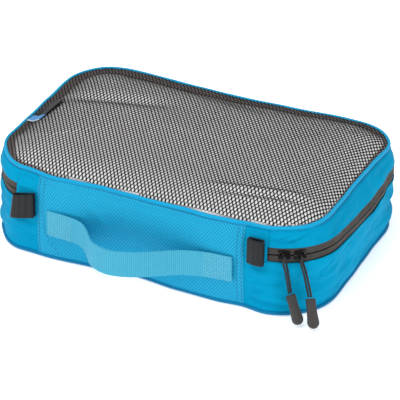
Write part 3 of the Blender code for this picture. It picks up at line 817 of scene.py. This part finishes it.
strap_cloth = webbing_material("pale_nylon_webbing", "#2496ba", "#55b7d2", 0.0015, 0.6, 0.4)
handle = lay("handle_webbing_strap", strap, (0, STRAP_LENGTH), (-1, 1), 190, 12, strap_cloth)
for corner in handle.data.uv_layers["lay"].data:
    corner.uv.y *= HANDLE_WIDTH / 2
thicken(handle, 0.0013, 0, soft=True)
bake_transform(handle)
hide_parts("handle_strap", "handle_end_left", "handle_end_right")

# Thread in the webbing's own colour, paler where it catches the light
pale_thread, tree, shader = new_material("pale_polyester_thread", Roughness=0.5, IOR=1.55)
twist = node(tree, "TexNoise", {"Vector": node(tree, "TexCoord", out="Object"), "Scale": 700.0})
paint(tree, shader, twist, "#4fb3ce", "#86cfe2")
spots = []
for start in (0.0012, STRAP_LENGTH - SEWN - 0.0012):
    for row in range(STITCH_ROWS):
        for step in range(STITCH_STEPS):
            uneven = 0.3 * noise.noise(Vector((row * 1.7, step * 2.3, start * 90)))
            run = start + SEWN * (step + 0.5 + uneven) / STITCH_STEPS
            slant = (1 if (row + step) % 2 else -1) * (1 + noise.noise(Vector((step * 3.1, row * 1.9, 7.7))))
            height = -0.92 + 1.84 * row / (STITCH_ROWS - 1)
            here = strap(run, height)
            along = strap(run + 0.001, height + slant * 0.11) - here
            normal = -(strap(run + 0.001, height) - here).cross(Z).normalized()
            normal = normal if normal.y < 0 else -normal
            spots.append((here + normal * 0.00072, along, normal))
zigzag = sew("handle_stitching", spots, pale_thread, length=0.0015, width=0.0004, height=0.0003)
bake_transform(zigzag)


# --- Sliders ---
# Two small die-cast sliders, lacquered black, meet nose to nose on the corner. Each has a body with
# raised side rails, and an arched bail along it that the pull's cord hangs from.

# Lacquered zinc: black, with bright spots scattered at random over it as painted glints
lacquer, tree, shader = new_material("lacquered_zinc", Roughness=0.28, Metallic=0.75)
place = node(tree, "TexCoord", out="Object")
glint_noise = node(tree, "TexNoise", {"Vector": place, "Scale": 900.0, "Detail": 2.0})
# the brightest noise spots are painted glints, not wear
glint_spots = node(tree, "MapRange", {"Value": glint_noise, "From Min": 0.60, "From Max": 0.70})
paint(tree, shader, glint_spots, "#1b1a1b", "#6a6460")

for number, angle in enumerate(SLIDER_ANGLES, start=1):
    mesh = bmesh.new()
    bmesh.ops.create_cube(mesh, size=1.0, matrix=Matrix.Diagonal((0.0088, 0.0078, 0.0016, 1)))
    bmesh.ops.subdivide_edges(mesh, edges=mesh.edges, cuts=3, use_grid_fill=True)
    nose = 1 if number == 1 else -1
    for vertex in mesh.verts:
        narrow = max(0.0, vertex.co.x * nose / 0.0044)
        vertex.co.y *= 1 - 0.22 * narrow**2
        if vertex.co.z > 0 and abs(vertex.co.y) > 0.0025:
            vertex.co.z += 0.0005
    edges = [e for e in mesh.edges if e.calc_face_angle(0.0) > 0.5]
    bmesh.ops.bevel(mesh, geom=edges, offset=0.0003, segments=2, profile=0.5, affect="EDGES", material=-1)
    for x in (-0.0028, 0.0028):  # the two posts that the bail is set in
        post = Matrix.Translation((x, 0, 0.0018)) @ Matrix.Diagonal((0.0016, 0.0026, 0.0022, 1))
        bmesh.ops.create_cube(mesh, size=1.0, matrix=post)
    for vertex in mesh.verts:
        x, y, z = vertex.co
        out, along = corner_axes(angle + math.degrees(x / CORNER_RADIUS))
        vertex.co = CORNER + (CORNER_RADIUS - 0.0006 + z) * out + (ZIPPER_HEIGHT + y) * Z
    bmesh.ops.recalc_face_normals(mesh, faces=mesh.faces)
    body = finish_mesh(f"slider_body_cast_{number}", mesh, lacquer)
    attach(body, f"slider_{number}")
    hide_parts(f"slider_body_{number}")
    knots = []
    for share, reach in (
        (-1, 0.0012), (-1, 0.0032), (-0.7, 0.0045), (0, 0.0048), (0.7, 0.0045), (1, 0.0032), (1, 0.0012)
    ):
        out, along = corner_axes(angle + share * 4.3)
        knots.append(CORNER + (CORNER_RADIUS + reach) * out + ZIPPER_HEIGHT * Z)
    bail = wire(f"slider_bail_wire_{number}", smooth_line(knots, 41), BAIL_RADIUS, lacquer)
    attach(bail, f"slider_{number}")
    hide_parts(f"slider_bail_{number}")


# --- Rim ---
# The net and the upper band are joined in a rim of paler nylon rolled round a cord, and stitched
# close below it. Binding tape covers the raw edges inside.

RIM_INSET = RIM_DRAW_IN + 0.0005
TOPSTITCH_PITCH = 0.0033
rim_tape = edging_material("rolled_nylon_rim", "#0298ca", "#12a8d8", 0.0018)


def rim_middle(s):
    """The centre of the rim's cord at s."""
    point, normal = outline(s)
    spot = point - normal * (RIM_INSET - swell(RIM_SWELL, s))
    uneven = 0.0004 * noise.noise(Vector((s * 40, 2.2, 0)))
    return Vector((spot.x, spot.y, RIM_HEIGHT - swell(RIM_SAG, s) + uneven))


def under_rim(s, z):
    """The smooth wall under the rim's stitching, prouder where the front panel lies over it."""
    return wall(s, z, PANEL_PROUD if from_front(s) < SEAM else 0.0, 0.0)


rim = ring("rim_roll", rim_middle, 0.0013, 1.2, rim_tape, sides=14)
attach(rim, "lid")
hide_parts("rim_piping")

count = int(ROUND / TOPSTITCH_PITCH)
spots = [on_wall(under_rim, ROUND * step / count, SEAM_LINE, 1, 0) for step in range(count)]
topstitch = sew("rim_stitching", spots, thread, length=0.0027)
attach(topstitch, "lid")

tape = lay(
    "rim_binding", lambda s, z: wall(s, z, -0.0026), (0, ROUND), (0.0638, 0.0690),
    380, 3, binding, thickness=0.0006,
)
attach(tape, "lid")
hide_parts("rim_seam_binding")


# --- Lid ---
# The lid is a charcoal knitted net with six-sided holes. Under it lies a white sheet, which shows
# through the holes; round its edge, where the net is sewn down, the sheet is painted dark as the shade there.

LID_EDGE, CROWN = 0.0704, 0.0085
HOLE_PITCH = 0.00306
NET_ROW = HOLE_PITCH * math.sqrt(3) / 2
NET_COLUMNS = 52  # to either side of the middle
STRAND = 0.00100  # the first width of the yarn, before its holes are drawn to their own shape
SKEW = 0.10  # the net was sewn in a little askew
HOLE_SHARES = (0.80, 0.64)  # the hole's two half diagonals, as shares of half the pitch
# How wide the border of painted shade is at places round the lid. The net is slack there, and rises inside it
BORDER = (
    (-0.096, 0.0040), (-0.060, 0.0014), (0.0, 0.0010), (0.090, 0.0010), (0.140, 0.0015), (0.220, 0.0025),
    (0.280, 0.0045), (0.330, 0.0080), (0.400, 0.0110), (0.470, 0.0125), (0.530, 0.0135), (0.600, 0.0110),
    (0.660, 0.0080), (0.720, 0.0075),
)


def rim_depth(x, y):
    """How far inside the rim's cord a point is, and the place s of the rim nearest to it."""
    sx, sy = SIDES
    ax, ay = abs(x) - sx, abs(y) - sy
    if ax > 0 and ay > 0:
        depth = CORNER_RADIUS - math.hypot(ax, ay)
        turn = math.atan2(ay, ax) * CORNER_RADIUS
        quarter = sx + TURN + sy  # the middle of the right side
        if x > 0:
            s = quarter + (sy + turn) * (1 if y > 0 else -1)
        else:
            s = ROUND - quarter + (sy + turn) * (-1 if y > 0 else 1)
    else:
        to_end, to_side = HALF_LENGTH - abs(x), HALF_WIDTH - abs(y)
        depth = min(to_end, to_side)
        if to_end < to_side:
            s = sx + TURN + sy + y if x > 0 else ROUND - (sx + TURN + sy) - y
        elif y < 0:
            s = x
        else:
            s = ROUND / 2 - x
    return depth - RIM_INSET + swell(RIM_SWELL, s), s


def ridge(x, y, a, b, width, height):
    """A soft crease from a to b that fades at both ends."""
    start, run = Vector(a), Vector(b) - Vector(a)
    share = (Vector((x, y)) - start).dot(run) / run.length_squared
    off = (Vector((x, y)) - start - run * share).length
    return height * bell(off, width) * math.exp(-((2 * share - 1) ** 4))


def lid_height(x, y):
    """The height of the net: a quick rise from the rim to a shallow crown, with drag lines."""
    depth, s = rim_depth(x, y)
    border = swell(BORDER, s)
    slack = clamp(depth / border)
    rise = 0.10 * slack + 0.90 * (1 - math.exp(-max(depth - border, 0.0) / 0.012))
    folds = 0.0010 * noise.noise(Vector((x * 16 + y * 9, y * 26 - x * 6, 4.4)))
    folds += ridge(x, y, (0.045, -0.066), (0.118, -0.052), 0.0035, 0.0024)
    folds += ridge(x, y, (0.055, -0.076), (0.124, -0.064), 0.003, 0.0020)
    folds += ridge(x, y, (-0.118, 0.012), (-0.040, 0.034), 0.007, -0.0026)
    folds += ridge(x, y, (-0.050, 0.072), (0.030, 0.060), 0.006, -0.0012)
    sag = swell(RIM_SAG, s) * math.exp(-max(depth, 0.0) / 0.030)
    return LID_EDGE - sag + CROWN * rise + folds * rise


# Knitted polyester net: charcoal yarn with a soft sheen, its strands a little uneven
net_yarn, tree, shader = new_material(
    "knitted_polyester_net", Roughness=0.6, IOR=1.55, Specular_IOR_Level=0.1
)
place = node(tree, "TexCoord", out="Object")
fuzz = node(tree, "TexNoise", {"Vector": place, "Scale": 900.0, "Detail": 2.0})
paint(tree, shader, fuzz, "#151415", "#282527", fuzz)

wale = HOLE_PITCH / 2 * HOLE_SHARES[0] * Vector((-0.5, math.sqrt(3) / 2))
course = HOLE_PITCH / 2 * HOLE_SHARES[1] * Vector((0.5, math.sqrt(3) / 2))
hole_top, hole_side = wale + course, course - wale  # the corners of its slanted diamond
hole_area = hole_side.x * hole_top.y - hole_side.y * hole_top.x
net_rows = int(0.2 / NET_ROW)
for side, half in ((-1, "left"), (1, "right")):
    mesh = bmesh.new()
    for row in range(-net_rows // 2, net_rows // 2 + 1):
        y = row * NET_ROW
        for column in range(-NET_COLUMNS, NET_COLUMNS + 1):
            x = (column + 0.5 * (row % 2) + 0.25) * HOLE_PITCH
            drawn_x = x - SKEW * y
            if drawn_x * side < 0 or rim_depth(drawn_x, y)[0] < 0.0008:
                continue
            bmesh.ops.create_circle(
                mesh, cap_ends=True, segments=6, radius=HOLE_PITCH / math.sqrt(3),
                matrix=Matrix.Translation((x, y, 0)),
            )
    bmesh.ops.remove_doubles(mesh, verts=mesh.verts, dist=0.0002)
    cells = list(mesh.faces)
    for vertex in mesh.verts:
        vertex.co.x -= SKEW * vertex.co.y
    bmesh.ops.inset_individual(mesh, faces=cells, thickness=STRAND / 2, depth=0.0)
    for cell in cells:
        centre = cell.calc_center_median()
        for vertex in cell.verts:
            x, y = (vertex.co - centre).xy
            a = (x * hole_top.y - y * hole_top.x) / hole_area
            b = (y * hole_side.x - x * hole_side.y) / hole_area
            vertex.co.xy = centre.xy + Vector((x, y)) / (abs(a) ** 1.3 + abs(b) ** 1.3) ** (1 / 1.3)
    bmesh.ops.delete(mesh, geom=cells, context="FACES_ONLY")
    for vertex in mesh.verts:
        between = len(vertex.link_faces) > 3 and all(len(f.verts) == 4 for f in vertex.link_faces)
        vertex.co.z = lid_height(vertex.co.x, vertex.co.y) + (0.00012 if between else 0.0)
    bmesh.ops.recalc_face_normals(mesh, faces=mesh.faces)
    if sum(f.normal.z for f in mesh.faces) < 0:
        bmesh.ops.reverse_faces(mesh, faces=mesh.faces)
    net = finish_mesh(f"lid_net_{half}", mesh, net_yarn)
    thicken(net, 0.00030)
    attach(net, "lid")
    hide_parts("mesh_panel")

# White sheet: thin non-woven, painted dark by its distance from the rim as the shade under the net's slack
# border
liner_cloth, tree, shader = new_material("white_nonwoven_sheet", Roughness=0.8, IOR=1.5)
distance = node(tree, "Attribute", out="Fac", attribute_name="border")
place = node(tree, "TexCoord", out="Object")
fibres = node(tree, "TexNoise", {"Vector": place, "Scale": 420.0, "Detail": 3.0})
paper = node(tree, "Mix", {0: fibres, 6: colour("#e9e9e7"), 7: colour("#ffffff")}, data_type="RGBA", out=2)
# painted shade: the sheet turns dark where it lies under the net's slack border
shade = node(tree, "MapRange", {"Value": distance, "From Min": -0.0008, "From Max": 0.0008})
tint = node(tree, "Mix", {0: shade, 6: colour("#8a7d78"), 7: paper}, data_type="RGBA", out=2)
tree.links.new(tint, shader.inputs["Base Color"])
relief = node(tree, "Bump", {"Strength": 0.2, "Distance": 0.0002, "Height": fibres})
tree.links.new(relief, shader.inputs["Normal"])

mesh = bmesh.new()
whole = Matrix.Diagonal((2 * HALF_LENGTH, 2 * HALF_WIDTH, 1, 1))
bmesh.ops.create_grid(mesh, x_segments=112, y_segments=76, size=0.5, matrix=whole)
outside = [f for f in mesh.faces if rim_depth(*f.calc_center_median().xy)[0] < 0.0016]
bmesh.ops.delete(mesh, geom=outside, context="FACES")
for vertex in [v for v in mesh.verts if v.is_boundary]:
    s = rim_depth(*vertex.co.xy)[1]
    edge, normal = outline(s)
    vertex.co.xy = edge - normal * (RIM_INSET - swell(RIM_SWELL, s) + 0.0008)
past_border = mesh.verts.layers.float.new("border")
for vertex in mesh.verts:
    x, y = vertex.co.xy
    depth, s = rim_depth(x, y)
    vertex[past_border] = depth - swell(BORDER, s)
    vertex.co.z = lid_height(x, y) - 0.0006
liner = finish_mesh("lid_liner_sheet", mesh, liner_cloth)
thicken(liner, 0.0004)
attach(liner, "lid")
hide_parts("lid_liner")


# --- Label ---
# A small black woven label is caught in the rim on the left and lies on the net. It is plain, with
# one blue stripe at its front end and a pale edge to the stripe.

LABEL_X, LABEL_Y = (-0.1285, -0.1185), (-0.0295, 0.007)


def label_place(x, y):
    """A point on the label: it rises from the rim over the net's edge, and its inner corner lifts."""
    share = (x - LABEL_X[0]) / (LABEL_X[1] - LABEL_X[0])
    lift = 0.0010 + 0.0012 * share * bell(y - LABEL_Y[1], 0.02)
    x += 0.003 * (y - LABEL_Y[0]) / (LABEL_Y[1] - LABEL_Y[0])
    return Vector((x, y, max(lid_height(x, y), LID_EDGE + 0.001) + lift))


woven, tree, shader = new_material("woven_satin_label", Roughness=0.5, IOR=1.55, Specular_IOR_Level=0.2)
split = node(tree, "SeparateXYZ", {0: node(tree, "UVMap", uv_map="lay")}).node
stripe = node(tree, "Math", {0: split.outputs[1], 1: LABEL_Y[0] + 0.0095}, operation="LESS_THAN")
edge = node(tree, "Math", {0: split.outputs[1], 1: LABEL_Y[0] + 0.0009}, operation="LESS_THAN")
place = node(tree, "TexCoord", out="Object")
rows = node(tree, "TexWave", {"Vector": place, "Scale": 300.0}, bands_direction="Y")
black = node(tree, "Mix", {0: rows, 6: colour("#0c0c0e"), 7: colour("#1c1c1f")}, data_type="RGBA", out=2)
blue = node(tree, "Mix", {0: stripe, 6: black, 7: colour("#4f8fc8")}, data_type="RGBA", out=2)
tint = node(tree, "Mix", {0: edge, 6: blue, 7: colour("#c9d3dc")}, data_type="RGBA", out=2)
tree.links.new(tint, shader.inputs["Base Color"])
relief = node(tree, "Bump", {"Strength": 0.3, "Distance": 0.0001, "Height": rows})
tree.links.new(relief, shader.inputs["Normal"])
label = lay("rim_label_woven", label_place, LABEL_X, LABEL_Y, 8, 24, woven, thickness=0.0006)
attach(label, "lid")
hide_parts("rim_label")
